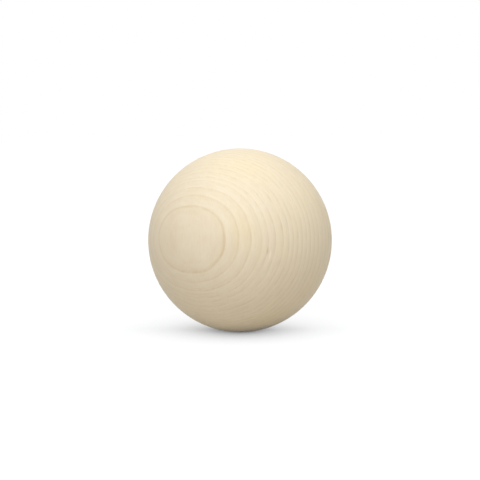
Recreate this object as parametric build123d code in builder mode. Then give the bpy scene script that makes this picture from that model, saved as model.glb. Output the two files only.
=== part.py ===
"""A turned wooden ball, one solid piece of pale close-grained hardwood.

Units are millimetres. The origin is the ball's centre. +Z points up along the axis on which the
ball is turned, and the grain of the blank runs close to that axis.
"""

import os

from build123d import *

# Driving dimension: a stock size of turned ball
ball_diameter = 50.0

ball_radius = ball_diameter / 2

# The ball's section on one side of the turning axis is a half disc, swept round that axis
with BuildPart() as ball:
    with BuildSketch(Plane.XZ):
        with BuildLine():
            outline = CenterArc((0, 0), ball_radius, start_angle=-90, arc_size=180)
            Line(outline @ 1, outline @ 0)
        make_face()
    revolve(axis=Axis.Z)

ball.part.label = "ball"

os.makedirs("parts", exist_ok=True)
export_step(ball.part, "parts/ball.step")
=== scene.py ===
"""Looks for a turned wooden ball: pale, close-grained, fine-sanded hardwood on a white table.

The wood is worked out in the blank that the ball was turned from, so one piece of timber runs
right through it: closed rings where the surface lies flat to the growth rings, straight lines
where it cuts across them, and arcs of end grain above and below.
"""

import math

import bpy
import numpy as np
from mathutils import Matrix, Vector


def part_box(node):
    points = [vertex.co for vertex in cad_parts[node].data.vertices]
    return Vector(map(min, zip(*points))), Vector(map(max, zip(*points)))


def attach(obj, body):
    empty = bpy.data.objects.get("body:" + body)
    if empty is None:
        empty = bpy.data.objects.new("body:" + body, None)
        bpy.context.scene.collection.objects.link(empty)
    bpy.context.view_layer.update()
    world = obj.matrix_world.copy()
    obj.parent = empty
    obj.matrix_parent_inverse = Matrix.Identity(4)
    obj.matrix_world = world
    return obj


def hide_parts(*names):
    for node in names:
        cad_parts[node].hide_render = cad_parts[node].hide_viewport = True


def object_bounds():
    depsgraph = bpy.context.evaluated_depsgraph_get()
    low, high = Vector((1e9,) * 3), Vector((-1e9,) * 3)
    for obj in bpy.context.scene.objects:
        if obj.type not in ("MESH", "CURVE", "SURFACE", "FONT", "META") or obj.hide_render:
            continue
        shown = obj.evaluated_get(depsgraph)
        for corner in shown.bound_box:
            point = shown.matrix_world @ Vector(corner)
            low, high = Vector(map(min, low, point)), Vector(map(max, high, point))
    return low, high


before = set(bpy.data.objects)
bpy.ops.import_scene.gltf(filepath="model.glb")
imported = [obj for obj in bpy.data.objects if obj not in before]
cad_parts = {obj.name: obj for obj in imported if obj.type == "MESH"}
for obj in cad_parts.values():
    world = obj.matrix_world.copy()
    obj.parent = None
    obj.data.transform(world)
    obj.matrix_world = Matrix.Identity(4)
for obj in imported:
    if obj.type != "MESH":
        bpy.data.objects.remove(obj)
cad_low, cad_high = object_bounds()

# Objects are in metres, as the frame is. The wood's own sizes are in millimetres
MM = 0.001

# The ball, as the frame has it
ball_low, ball_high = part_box("ball")
ball_centre = (ball_low + ball_high) / 2
ball_radius = (ball_high.z - ball_low.z) / 2
ball_radius_mm = ball_radius / MM
ball_foot = Vector((ball_centre.x, ball_centre.y, ball_low.z))

# Camera: a long lens a little above the table, with the ball's centre just below the middle of the frame
image_side_px = 480
ball_radius_px = 91.9
ball_drop_px = 0.25
lens_mm = 100.0
sensor_mm = 36.0
camera_rise = math.radians(9.0)
image_right = Vector((1.0, 0.0, 0.0))
image_up = Vector((0.0, math.sin(camera_rise), math.cos(camera_rise)))
to_camera = Vector((0.0, -math.cos(camera_rise), math.sin(camera_rise)))

# The blank: the bark side faces the camera, turned to the left, and the grain stands upright
bark_turn = math.radians(33.9)
bark_side = math.cos(bark_turn) * to_camera - math.sin(bark_turn) * image_right
ring_side = math.cos(bark_turn) * image_right + math.sin(bark_turn) * to_camera
grain = image_up

# The pith, a line behind the ball that leans and bows as it rises, in millimetres
pith_depth_mm = 42.5
surface_mm = pith_depth_mm + ball_radius_mm
pith_lean_out = -0.015
pith_lean_side = 0.044
pith_bow_per_mm = -0.0098

# The trunk is a little fluted: how deep, and from crest to hollow round it and along it, in millimetres
flute_mm = 0.08
flute_round_mm = 7.0
flute_along_mm = 8.6

# Places where a ring runs deeper or less deep than the rest: millimetres right and up as the camera sees
# them, half sizes in the tree (out from the pith, round it, along it), and how much deeper
swells = (
    (-14.0, -9.1, (0.9, 10.0, 6.0), 0.18),
    (-4.2, -8.9, (0.7, 8.0, 7.0), -0.14),
    (-12.0, 12.0, (0.7, 6.0, 5.0), 0.11),
    (2.3, -4.5, (0.6, 5.0, 5.0), -0.10),
)

# Growth rings from the bark inwards: width in millimetres, and how strong the line at the inner edge is
rings = (
    (1.64, 2.5), (1.12, 1.0), (1.20, 1.3), (1.25, 0.7), (0.88, 0.5), (1.09, 0.9), (1.36, 1.3), (1.15, 1.0),
    (0.98, 0.7), (1.05, 0.6), (1.18, 1.0), (1.15, 0.9), (1.20, 1.1), (1.40, 1.0), (1.60, 0.9), (2.10, 1.3),
    (1.90, 1.1), (2.20, 1.2),
)
inner_ring_mm = 2.1

# Marks on the front: millimetres right and up as the camera sees them, half sizes in the tree, strength.
# Lengths of line that show less, then darker lengths, a small nick drawn as painted shade with a painted
# highlight at its lower end, darker and paler patches of ground with painted shade under the ball at the
# lower right, then warmer streaks, with a painted warm bounce of light under the ball at the lower right and
# the painted yellow tint of the highlight at the top
faint_marks = (
    (-6.0, 5.9, (0.7, 3.2, 5.0), 0.40),
    (-7.4, -7.0, (0.7, 3.0, 4.5), 0.40),
    (-2.0, -6.0, (0.6, 2.0, 5.0), 0.40),
    (3.0, -3.0, (0.7, 1.6, 4.0), 0.60),
)
dark_marks_and_painted_light = (
    (-4.1, -0.2, (0.25, 1.5, 3.0), 0.10),
    (-11.0, -14.0, (0.30, 4.5, 2.5), 0.14),
    # A small nick: painted shade on its upper wall, then a painted highlight on its lit lower end
    (7.05, -2.8, (0.22, 0.40, 1.4), 0.56),
    (7.65, -4.0, (0.20, 0.40, 2.0), -0.40),
    (-17.4, 1.0, (3.0, 2.8, 5.5), 0.13),
    (-9.4, -4.4, (3.0, 2.2, 4.5), -0.10),
    (16.5, -12.4, (11.0, 16.0, 12.0), 0.11),
    (6.1, 14.2, (8.0, 11.0, 9.0), 0.06),
    # Painted shade on the ball's underside at the lower right, near the table
    (7.5, -21.5, (6.0, 9.0, 6.0), 0.15),
    (-6.5, -21.8, (6.0, 8.0, 6.0), -0.08),
)
warm_marks_and_painted_tints = (
    (1.0, 3.2, (2.6, 6.0, 9.0), 1.0),
    # Painted yellow tint of the highlight, where the light falls strongest at the top
    (1.0, 19.5, (9.0, 15.0, 9.0), 1.0),
    # Painted warm bounce of light on the ball's underside at the lower right
    (8.5, -21.0, (9.0, 12.0, 7.0), 1.5),
)

# The ball's mesh: squares along each edge of its six patches, the digits by which corners are told apart
# when the patches are welded, and the rings' relief
patch_cells = 128
weld_digits = 7
ring_relief_mm = 0.012

# The map of the patches: how they are laid out, and the margin round each as a share of its place
map_columns = 3
map_rows = 2
map_margin = 0.004


def wood_place(points):
    """Where points (mm from the ball's centre) lie in the tree: pith distance, round it, along it."""
    outward = points @ np.array(bark_side)
    sideways = points @ np.array(ring_side)
    along = points @ np.array(grain)
    outward = outward + pith_depth_mm - pith_lean_out * along
    sideways = sideways - pith_lean_side * along - pith_bow_per_mm * along**2
    around = np.arctan2(sideways, outward) * pith_depth_mm
    return np.stack([np.hypot(outward, sideways), around, along], axis=1)


def front_place(right_mm, up_mm):
    """The place in the tree of a point on the ball's front, by where the camera sees it."""
    front_mm = math.sqrt(ball_radius_mm**2 - right_mm**2 - up_mm**2)
    point = right_mm * image_right + up_mm * image_up + front_mm * to_camera
    return wood_place(np.array([point]))[0]


def ring_count(place):
    """How many whole rings lie outside a place in the tree, and what share of its own ring."""
    flute = np.cos(math.pi * place[:, 1] / flute_round_mm) * np.cos(math.pi * place[:, 2] / flute_along_mm)
    depth = surface_mm - place[:, 0] - flute_mm * flute
    for right_mm, up_mm, sizes, deeper_mm in swells:
        offset = np.linalg.norm((place - front_place(right_mm, up_mm)) / np.array(sizes), axis=1)
        depth = depth - deeper_mm * (0.5 + 0.5 * np.cos(math.pi * np.minimum(offset, 1.0)))
    more = math.ceil(2 * ball_radius_mm / inner_ring_mm)
    widths = [width for width, _ in rings] + [inner_ring_mm] * more
    edges = np.concatenate([[0.0], np.cumsum(widths)])
    return np.interp(depth, edges, np.arange(len(edges)))


def patch_directions(side):
    """Directions over one of the six patches of a ball, evenly spaced by angle."""
    axis, back = divmod(side, 2)
    sign = -1.0 if back else 1.0
    steps = np.tan(np.linspace(-math.pi / 4, math.pi / 4, patch_cells + 1))
    across, up = np.meshgrid(steps, steps, indexing="ij")
    corners = np.empty(across.shape + (3,))
    corners[..., axis] = sign
    corners[..., (axis + 1) % 3] = sign * across
    corners[..., (axis + 2) % 3] = up
    corners /= np.linalg.norm(corners, axis=2, keepdims=True)
    return corners.reshape(-1, 3)


def patch_quads():
    """The corner numbers of each square of a patch, counted anticlockwise from outside."""
    row = patch_cells + 1
    first = (np.arange(patch_cells)[:, None] * row + np.arange(patch_cells)).ravel()
    return np.stack([first, first + row, first + row + 1, first + 1], axis=1)


def patch_map(side):
    """Map places of a patch's corners, inside the patch's own part of the map."""
    row, column = divmod(side, map_columns)
    steps = np.linspace(0.0, 1.0, patch_cells + 1)
    across, up = np.meshgrid(steps, steps, indexing="ij")
    u = (column + map_margin + across * (1 - 2 * map_margin)) / map_columns
    v = (row + map_margin + up * (1 - 2 * map_margin)) / map_rows
    return np.stack([u.ravel(), v.ravel()], axis=1)


def ball_arrays():
    """Welded directions, quads and a map place for each quad corner, for the whole ball."""
    sides = range(map_columns * map_rows)
    corners = np.concatenate([patch_directions(side) for side in sides])
    per_patch = (patch_cells + 1) ** 2
    quads = np.concatenate([patch_quads() + side * per_patch for side in sides])
    places = np.concatenate([patch_map(side) for side in sides])[quads.ravel()]

    # Adding zero turns minus zero into zero, so that the two aren't told apart
    rounded = np.round(corners, weld_digits) + 0.0
    _, kept, number = np.unique(rounded, axis=0, return_index=True, return_inverse=True)
    return corners[kept], number.ravel()[quads], places


def add_ball():
    """The ball as a welded quad mesh, with its rings' relief and the wood's places stored on it."""
    directions, quads, places = ball_arrays()
    place = wood_place(directions * ball_radius_mm)
    count = ring_count(place)
    sunk_mm = ring_relief_mm * (0.5 - 0.5 * np.cos(2 * math.pi * count))
    points = directions * (ball_radius - sunk_mm[:, None] * MM) + np.array(ball_centre)

    mesh = bpy.data.meshes.new("wooden_ball")
    mesh.from_pydata(points.tolist(), [], quads.tolist())
    mesh.shade_smooth()
    mesh.uv_layers.new(name="OFBake").uv.foreach_set("vector", places.ravel())
    mesh.attributes.new("ring_count", "FLOAT", "POINT").data.foreach_set("value", count)
    stored = mesh.attributes.new("wood_place", "FLOAT_VECTOR", "POINT")
    stored.data.foreach_set("vector", place.ravel())
    mesh.update()

    ball = bpy.data.objects.new("wooden_ball", mesh)
    bpy.context.scene.collection.objects.link(ball)
    return ball


class Nodes:
    """Adds nodes to one node tree, and links or sets their inputs."""

    def __init__(self, tree):
        self.tree = tree
        tree.nodes.clear()

    def add(self, kind, inputs=(), **settings):
        """A new node with these inputs and settings."""
        node = self.tree.nodes.new(kind)
        for name, value in settings.items():
            setattr(node, name, value)
        for key, value in dict(inputs).items():
            self.fill(node.inputs[key], value)
        return node

    def fill(self, socket, value):
        """Links another node's output to a socket, or sets the socket to a plain value."""
        if isinstance(value, bpy.types.NodeSocket):
            self.tree.links.new(value, socket)
        else:
            socket.default_value = value

    def maths(self, operation, *values):
        """The output of one maths node."""
        node = self.add("ShaderNodeMath", operation=operation)
        for socket, value in zip(node.inputs, values):
            self.fill(socket, value)
        return node.outputs[0]

    def stretched(self, vector, sizes):
        """A vector divided by a size along each of its axes."""
        node = self.add("ShaderNodeVectorMath", {0: vector, 1: sizes}, operation="DIVIDE")
        return node.outputs[0]

    def noise(self, vector, sizes, detail=2.0):
        """Noise about 0.5, with cells of these sizes along the vector's axes."""
        inputs = {"Vector": self.stretched(vector, sizes), "Scale": 1.0, "Detail": detail}
        return self.add("ShaderNodeTexNoise", inputs).outputs[0]

    def spread(self, value, low, high, to_low, to_high):
        """A value moved from one range to another, and kept inside it."""
        inputs = {"Value": value, 1: low, 2: high, 3: to_low, 4: to_high}
        return self.add("ShaderNodeMapRange", inputs).outputs[0]

    def mix(self, share, first, second):
        """A colour this far from the first towards the second, and past them where the share is."""
        node = self.add("ShaderNodeMix", {"Factor": share}, data_type="RGBA", clamp_factor=False)
        self.fill(node.inputs["A"], first)
        self.fill(node.inputs["B"], second)
        return node.outputs["Result"]

    def spot(self, vector, centre, sizes, core=0.0):
        """1 out to the core of a spot, as a share of its half sizes, then down to 0 at its edge."""
        offset = self.add("ShaderNodeVectorMath", {0: vector, 1: centre}, operation="SUBTRACT")
        scaled = self.stretched(offset.outputs[0], sizes)
        length = self.add("ShaderNodeVectorMath", {0: scaled}, operation="LENGTH")
        return self.spread(length.outputs["Value"], core, 1.0, 1.0, 0.0)

    def marks(self, place, marks):
        """The sum of spots at these marks, each as strong as its mark says."""
        total = 0.0
        for right_mm, up_mm, sizes, strength in marks:
            spot = self.spot(place, front_place(right_mm, up_mm), sizes)
            total = self.maths("MULTIPLY_ADD", spot, strength, total)
        return total

    def ramp(self, value, stops, interpolation="LINEAR"):
        """A grey curve through (place, level) stops."""
        node = self.add("ShaderNodeValToRGB", {"Fac": value})
        node.color_ramp.interpolation = interpolation
        elements = node.color_ramp.elements
        while len(elements) < len(stops):
            elements.new(1.0)
        for element, (place, level) in zip(elements, stops):
            element.position = place
            element.color = (level, level, level, 1.0)
        return node.outputs[0]


# Wood colours: the pale ground, its warmer parts, and a wholly dark line near the bark and deeper in
pale_wood = (0.778, 0.681, 0.515, 1.0)
warm_wood = (0.783, 0.673, 0.474, 1.0)
brown_line = (0.575, 0.378, 0.155, 1.0)
grey_line = (0.505, 0.390, 0.225, 1.0)

# Darkness in a ring: a slow shade across it, a thin line by how far it is from the inner edge, and a pale
# band by how far it is from the outer one, where 1 is the reach
shade_profile = ((0.0, 0.0), (0.35, 0.22), (0.85, 1.0), (0.95, 1.0), (1.0, 0.0))
line_profile = ((0.0, 0.0), (0.12, 1.0), (0.28, 1.0), (0.56, 0.0))
pale_profile = ((0.0, 0.0), (0.12, 1.0), (0.50, 1.0), (0.90, 0.0))
line_reach_mm = 0.5
shade_darkness = 0.10
line_darkness = 0.10
pale_darkness = -0.03

# Cells of the noises in the wood: out from the pith, round it and along it, in millimetres. Fibres and
# vessels run along the grain, layers lie flat to the rings, and rays run out from the pith
slow_sway_cells = (6.0, 12.0, 14.0)
quick_sway_cells = (1.2, 3.0, 4.5)
break_cells = (0.6, 0.9, 2.4)
fibre_cells = (0.26, 0.26, 3.6)
vessel_cells = (0.16, 0.16, 2.2)
layer_cells = (0.30, 2.2, 5.0)
ray_cells = (3.0, 0.15, 0.8)
tone_cells = (7.0, 14.0, 30.0)
warmth_cells = (5.0, 9.0, 16.0)

# The part of a noise's range that counts: most of it, its middle, or only its peaks
noise_all = (0.2, 0.8)
noise_middle = (0.3, 0.7)
vessel_peaks = (0.58, 0.75)
ray_peaks = (0.55, 0.75)

# How far the rings sway either way, as a share of a ring, and how dark each noise makes the wood. Layers
# show more towards the ends
slow_sway = 0.03
quick_sway = 0.02
fibre_darkness = 0.20
layer_darkness = (0.22, 0.34)
vessel_darkness = 0.08
ray_darkness = 0.05
tone_darkness = 0.12

# Where the wood changes, in millimetres: depths under the bark, distances from mid height towards the ends,
# and how far round the pith to the left and right
change_depths = (3.0, 7.0)
fade_depths = (4.0, 7.0)
warm_depths = (2.0, 20.0)
change_heights = (3.0, 10.0)
fade_heights = (2.5, 9.0)
flank_reach = (-7.0, 7.0)

# What changes there: how broken the lines are by depth, and how many times that by height, how much of them
# shows at the ends and on the flanks, and how warm and how uneven the ground is
break_by_depth = (0.18, 0.45)
break_by_height = (1.0, 2.2)
shown_at_ends = (0.85, 0.60)
shown_on_flanks = (0.58, 1.08)
warmth_by_depth = (0.0, 0.65)
warmth_range = (0.4, 1.6)

# The finish: roughness of pale wood and of dark lines, how dark a line has to be for that, and the shine
pale_rough = 0.56
line_rough = 0.44
full_darkness = 0.4
specular_level = 0.35

# The fibres' relief, and how far vessels sink into it as a share of its height
bump_strength = 0.35
bump_mm = 0.015
vessel_depth = 0.8


def tree_parts(nodes, place):
    """A place's depth under the bark, its way round the pith, and its distance from mid height."""
    parts = nodes.add("ShaderNodeSeparateXYZ", {0: place}).outputs
    depth = nodes.maths("SUBTRACT", surface_mm, parts["X"])
    return depth, parts["Y"], nodes.maths("ABSOLUTE", parts["Z"])


def swaying_count(nodes, place):
    """The ring count stored on the mesh, with a slow and a quick sway."""
    count = nodes.add("ShaderNodeAttribute", attribute_name="ring_count").outputs["Fac"]
    slow = nodes.noise(place, slow_sway_cells, detail=0.0)
    slow = nodes.spread(slow, *noise_all, -slow_sway, slow_sway)
    quick = nodes.noise(place, quick_sway_cells, detail=0.0)
    quick = nodes.spread(quick, *noise_all, -quick_sway, quick_sway)
    return nodes.maths("ADD", count, nodes.maths("ADD", slow, quick))


def ring_value(nodes, turn, values):
    """The value of the ring that a turn through the list of rings has come to."""
    most = max(values)
    stops = [(ring / len(values), value / most) for ring, value in enumerate(values)]
    return nodes.maths("MULTIPLY", nodes.ramp(turn, stops, "CONSTANT"), most)


def whole_rings(nodes, place):
    """Darkness of the growth rings where all of it shows."""
    count = swaying_count(nodes, place)
    phase = nodes.maths("FRACT", count)
    shade = nodes.maths("MULTIPLY", nodes.ramp(phase, shade_profile), shade_darkness)

    # The list of rings starts again further in. Half a step keeps a turn clear of the edges in the list
    turn = nodes.maths("DIVIDE", nodes.maths("FLOOR", count), len(rings))
    turn = nodes.maths("FRACT", nodes.maths("ADD", turn, 0.5 / len(rings)))
    width = ring_value(nodes, turn, [width for width, _ in rings])
    strength = ring_value(nodes, turn, [line * line_darkness for _, line in rings])

    # The line lies by the inner edge, and the pale band by the outer edge of every ring but the first
    width = nodes.maths("DIVIDE", width, line_reach_mm)
    outer = nodes.maths("MULTIPLY", phase, width)
    inner = nodes.maths("SUBTRACT", width, outer)
    line = nodes.maths("MULTIPLY_ADD", nodes.ramp(inner, line_profile), strength, shade)
    pale = nodes.maths("MULTIPLY", nodes.maths("GREATER_THAN", count, 1.0), pale_darkness)
    return nodes.maths("MULTIPLY_ADD", nodes.ramp(outer, pale_profile), pale, line)


def shown_rings(nodes, place):
    """How much of the rings shows: broken deeper in and at the ends, and less there and to the left."""
    depth, around, height = tree_parts(nodes, place)
    most = nodes.spread(depth, *change_depths, *break_by_depth)
    most = nodes.maths("MULTIPLY", most, nodes.spread(height, *change_heights, *break_by_height))
    break_up = nodes.spread(nodes.noise(place, break_cells), *noise_middle, -1.0, 1.0)
    broken = nodes.maths("MULTIPLY_ADD", break_up, most, 1.0)
    at_ends = nodes.spread(depth, *fade_depths, *shown_at_ends)
    ends = nodes.spread(height, *fade_heights, 1.0, at_ends)
    flanks = nodes.spread(around, *flank_reach, *shown_on_flanks)
    shown = nodes.maths("MULTIPLY", broken, nodes.maths("MULTIPLY", ends, flanks))
    faint = nodes.maths("SUBTRACT", 1.0, nodes.marks(place, faint_marks))
    return nodes.maths("MULTIPLY", shown, faint)


def with_noise(nodes, darkness, noise, amount):
    """Darkness with this amount of a noise, which makes some wood darker and some paler."""
    return nodes.maths("MULTIPLY_ADD", nodes.maths("SUBTRACT", noise, 0.5), amount, darkness)


def wood_darkness(nodes, place, fibre, vessels):
    """How far each place is from the ground's colour to a dark line's."""
    _, _, height = tree_parts(nodes, place)
    layer_amount = nodes.spread(height, *change_heights, *layer_darkness)
    rays = nodes.spread(nodes.noise(place, ray_cells), *ray_peaks, 0.0, 1.0)
    darkness = nodes.maths("MULTIPLY", whole_rings(nodes, place), shown_rings(nodes, place))
    darkness = with_noise(nodes, darkness, fibre, fibre_darkness)
    darkness = with_noise(nodes, darkness, nodes.noise(place, layer_cells), layer_amount)
    darkness = nodes.maths("MULTIPLY_ADD", vessels, vessel_darkness, darkness)
    darkness = nodes.maths("MULTIPLY_ADD", rays, ray_darkness, darkness)
    darkness = with_noise(nodes, darkness, nodes.noise(place, tone_cells), tone_darkness)
    # The marks include painted shade and a painted highlight as well as darker wood
    return nodes.maths("ADD", darkness, nodes.marks(place, dark_marks_and_painted_light))


def wood_colour(nodes, place, darkness):
    """Pale ground, warmer deeper in, in streaks and in painted tints of light, with lines that turn from
    brown to grey deeper in.
    """
    depth, _, _ = tree_parts(nodes, place)
    warm = nodes.spread(depth, *warm_depths, *warmth_by_depth)
    uneven = nodes.spread(nodes.noise(place, warmth_cells), *noise_middle, *warmth_range)
    warm = nodes.maths("MULTIPLY", warm, uneven)
    warm = nodes.maths("MAXIMUM", warm, nodes.marks(place, warm_marks_and_painted_tints))
    ground = nodes.mix(warm, pale_wood, warm_wood)
    deep = nodes.spread(depth, *change_depths, 0.0, 1.0)
    return nodes.mix(darkness, ground, nodes.mix(deep, brown_line, grey_line))


def wood_material():
    """Bare sanded hardwood, from the places stored on the mesh."""
    material = bpy.data.materials.new("bare_wood")
    material.use_nodes = True
    nodes = Nodes(material.node_tree)
    place = nodes.add("ShaderNodeAttribute", attribute_name="wood_place").outputs["Vector"]
    fibre = nodes.noise(place, fibre_cells)
    vessels = nodes.spread(nodes.noise(place, vessel_cells), *vessel_peaks, 0.0, 1.0)
    darkness = wood_darkness(nodes, place, fibre, vessels)

    height = nodes.maths("MULTIPLY_ADD", vessels, -vessel_depth, fibre)
    relief = {"Height": height, "Strength": bump_strength, "Distance": bump_mm * MM}
    surface = {
        "Base Color": wood_colour(nodes, place, darkness),
        "Roughness": nodes.spread(darkness, 0.0, full_darkness, pale_rough, line_rough),
        "Specular IOR Level": specular_level,
        "Normal": nodes.add("ShaderNodeBump", relief).outputs[0],
    }
    shader = nodes.add("ShaderNodeBsdfPrincipled", surface)
    nodes.add("ShaderNodeOutputMaterial", {"Surface": shader.outputs[0]})
    return material


# Studio, in metres. A level of 1 is white, for the world's light and for the face of each lamp. A lamp's
# turn is to the right of the camera, and its rise is above the table
white = (1.0, 1.0, 1.0, 1.0)
world_level = 0.175
lamp_distance = 2.0
overhead_level = 1.07
overhead_side = 3.4
overhead_turn = math.radians(25.0)
overhead_rise = math.radians(80.0)
key_level = 1.85
key_side = 2.4
key_turn = math.radians(-9.0)
key_rise = math.radians(50.0)

# The table: its colour where it lights the ball, and what the camera sees of it before it is lifted to white
floor_side = 1.2
floor_colour = (0.651, 0.619, 0.573, 1.0)
seen_floor_colour = (0.095, 0.10, 0.11, 1.0)

# Painted shade on the table near the ball's foot, in the colour that lights the ball only, so that it sends
# little light back up to it
foot_shade_colour = (0.05, 0.045, 0.04, 1.0)
foot_offset_mm = Vector((5.0, -4.0, 0.0))
foot_sizes_mm = Vector((16.0, 11.0, 11.0))
foot_core = 0.4

# The shadow that the camera sees: the table's level, by how open the sky is in front of a place or behind
# it, about lines that lean that far from upright
front_lean = math.radians(66.5)
back_lean = math.radians(64.0)
side_lean = math.radians(3.0)
sky_reach = 4 * ball_radius
shadow_curve = (
    (0.40, 0.09), (0.50, 0.41), (0.60, 0.61), (0.70, 0.735), (0.80, 0.84), (0.85, 0.882), (0.92, 0.912),
    (1.0, 0.945),
)


def seen_share(nodes):
    """1 for rays from the camera and its reflections, which see the background as plain white."""
    path = nodes.add("ShaderNodeLightPath")
    seen = nodes.maths("MAXIMUM", path.outputs["Is Camera Ray"], path.outputs["Is Glossy Ray"])
    return nodes.maths("MAXIMUM", seen, path.outputs["Is Transmission Ray"])


def add_world():
    """A dim white light from all round, which the camera sees as plain white."""
    world = bpy.data.worlds.new("studio")
    bpy.context.scene.world = world
    world.use_nodes = True
    nodes = Nodes(world.node_tree)
    lit = nodes.add("ShaderNodeBackground", {"Color": white, "Strength": world_level})
    seen = nodes.add("ShaderNodeBackground", {"Color": white, "Strength": 1.0})
    both = {0: seen_share(nodes), 1: lit.outputs[0], 2: seen.outputs[0]}
    mixed = nodes.add("ShaderNodeMixShader", both)
    nodes.add("ShaderNodeOutputWorld", {"Surface": mixed.outputs[0]})


def open_sky(nodes, lean):
    """How open the sky is over the table, about a line that leans back by this much, and a little right."""
    flat = math.cos(side_lean)
    way = {"X": math.sin(side_lean), "Y": flat * math.sin(lean), "Z": flat * math.cos(lean)}
    facing = nodes.add("ShaderNodeCombineXYZ", way)
    inputs = {"Distance": sky_reach, "Normal": facing.outputs[0]}
    return nodes.add("ShaderNodeAmbientOcclusion", inputs).outputs["AO"]


def floor_material():
    """White table: as the camera sees it, lifted to white where the ball leaves the sky open."""
    material = bpy.data.materials.new("white_table")
    material.use_nodes = True
    nodes = Nodes(material.node_tree)
    position = nodes.add("ShaderNodeNewGeometry").outputs["Position"]
    # Painted shade near the ball's foot darkens the light that the table sends up to the ball
    painted_foot_shade = nodes.spot(position, ball_foot + foot_offset_mm * MM, foot_sizes_mm * MM, foot_core)
    lit = nodes.add("ShaderNodeBsdfDiffuse", {"Color": nodes.mix(painted_foot_shade, floor_colour, foot_shade_colour)})
    seen = nodes.add("ShaderNodeBsdfDiffuse", {"Color": seen_floor_colour})
    sky = nodes.maths("MAXIMUM", open_sky(nodes, -front_lean), open_sky(nodes, back_lean))
    glow = nodes.add("ShaderNodeEmission", {"Strength": nodes.ramp(sky, shadow_curve)})
    lifted = nodes.add("ShaderNodeAddShader", {0: seen.outputs[0], 1: glow.outputs[0]})
    both = {0: seen_share(nodes), 1: lit.outputs[0], 2: lifted.outputs[0]}
    mixed = nodes.add("ShaderNodeMixShader", both)
    nodes.add("ShaderNodeOutputMaterial", {"Surface": mixed.outputs[0]})
    return material


def add_floor():
    """A square table top, level with the ball's foot."""
    half = floor_side / 2
    corners = [(-half, -half), (half, -half), (half, half), (-half, half)]
    mesh = bpy.data.meshes.new("table")
    mesh.from_pydata([(x, y, cad_low.z) for x, y in corners], [], [(0, 1, 2, 3)])
    mesh.materials.append(floor_material())
    floor = bpy.data.objects.new("table", mesh)
    bpy.context.scene.collection.objects.link(floor)
    return floor


def add_softbox(name, level, side, turn, rise):
    """A square area light that faces the ball."""
    flat = math.cos(rise)
    way = Vector((flat * math.sin(turn), -flat * math.cos(turn), math.sin(rise)))
    light = bpy.data.lights.new(name, "AREA")
    light.size = side
    light.energy = level * math.pi * side**2
    lamp = bpy.data.objects.new(name, light)
    lamp.location = ball_centre + way * lamp_distance
    lamp.rotation_euler = (-way).to_track_quat("-Z", "Y").to_euler()
    bpy.context.scene.collection.objects.link(lamp)


def add_camera():
    """The camera, as far off as makes the ball the right size in the picture."""
    data = bpy.data.cameras.new("camera")
    data.lens = lens_mm
    data.sensor_width = sensor_mm
    half_angle = math.atan(ball_radius_px / image_side_px * sensor_mm / lens_mm)
    camera = bpy.data.objects.new("camera", data)
    camera.location = ball_centre + to_camera * (ball_radius / math.sin(half_angle))
    camera.location += image_up * (ball_radius * ball_drop_px / ball_radius_px)
    camera.rotation_euler = (-to_camera).to_track_quat("-Z", "Y").to_euler()
    bpy.context.scene.collection.objects.link(camera)
    bpy.context.scene.camera = camera


ball = add_ball()
ball.data.materials.append(wood_material())
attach(ball, "root")
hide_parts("ball")

add_floor()
add_world()
add_softbox("overhead", overhead_level, overhead_side, overhead_turn, overhead_rise)
add_softbox("key", key_level, key_side, key_turn, key_rise)
add_camera()
bpy.context.scene.view_settings.view_transform = "Standard"
